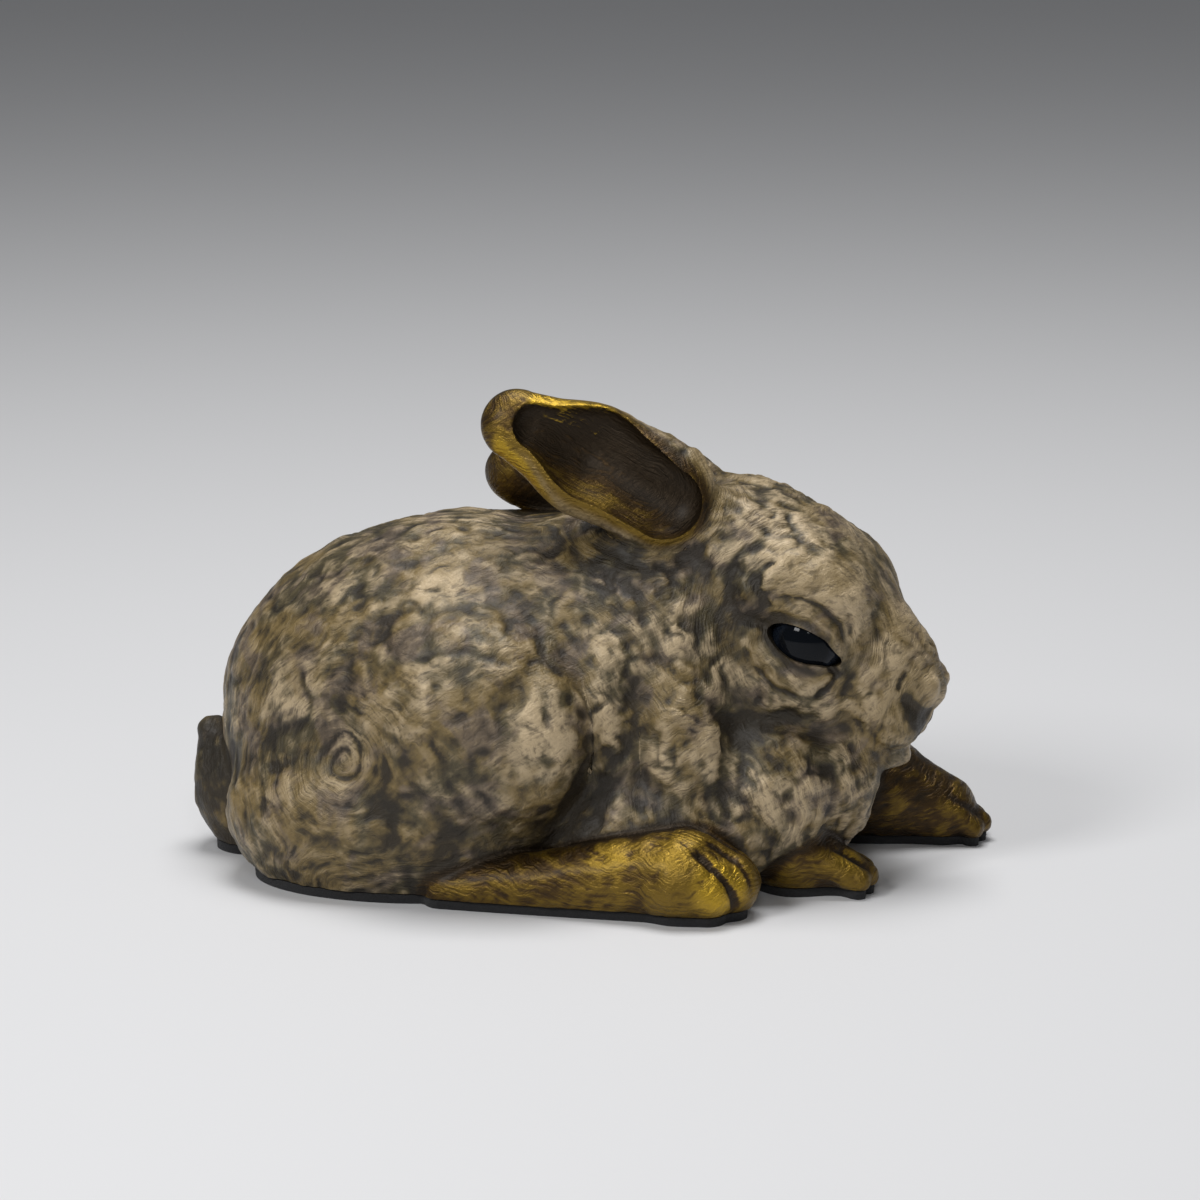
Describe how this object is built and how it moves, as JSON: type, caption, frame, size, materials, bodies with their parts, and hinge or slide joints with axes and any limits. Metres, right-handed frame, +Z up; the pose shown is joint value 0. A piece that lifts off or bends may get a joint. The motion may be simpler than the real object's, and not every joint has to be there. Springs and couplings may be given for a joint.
{
  "type": "bronze rabbit sculpture",
  "caption": "Crouching young rabbit figurine in patinated cast bronze, its right ear lifted, with glass eyes and a felt underside, made to stand on a shelf or table.",
  "frame": {"origin": "middle of the bounding box, at the underside of the felt", "axes": "+X from the tail to the nose, +Y towards the rabbit's left side, +Z up"},
  "size_m": [0.182, 0.1096, 0.1101],
  "materials": {
    "body_bronze": "mottled cream, grey and olive patina over dark bronze, waxed to a satin sheen",
    "ear_bronze": "dark brown patina with rubbed gold rims, waxed",
    "hind_foot_bronze": "golden olive patina rubbed bright at the toes, waxed",
    "forepaw_bronze": "dark brown patina with rubbed gold ridges, waxed",
    "tail_bronze": "dark green-brown patina, waxed",
    "pin_bronze": "bare drawn bronze rod",
    "eye_glass": "opaque blue-black glass, polished",
    "base_felt": "black wool felt"
  },
  "bodies": {
    "root": {"body_casting": "body_bronze", "right_ear": "ear_bronze", "left_ear": "ear_bronze", "right_eye": "eye_glass", "left_eye": "eye_glass", "right_forepaw": "forepaw_bronze", "left_forepaw": "forepaw_bronze", "right_hind_foot": "hind_foot_bronze", "left_hind_foot": "hind_foot_bronze", "tail": "tail_bronze", "right_ear_pin": "pin_bronze", "left_ear_pin": "pin_bronze", "right_forepaw_pin": "pin_bronze", "left_forepaw_pin": "pin_bronze", "right_hind_foot_pin": "pin_bronze", "left_hind_foot_pin": "pin_bronze", "tail_pin": "pin_bronze", "base_felt": "base_felt"}
  },
  "joints": []
}
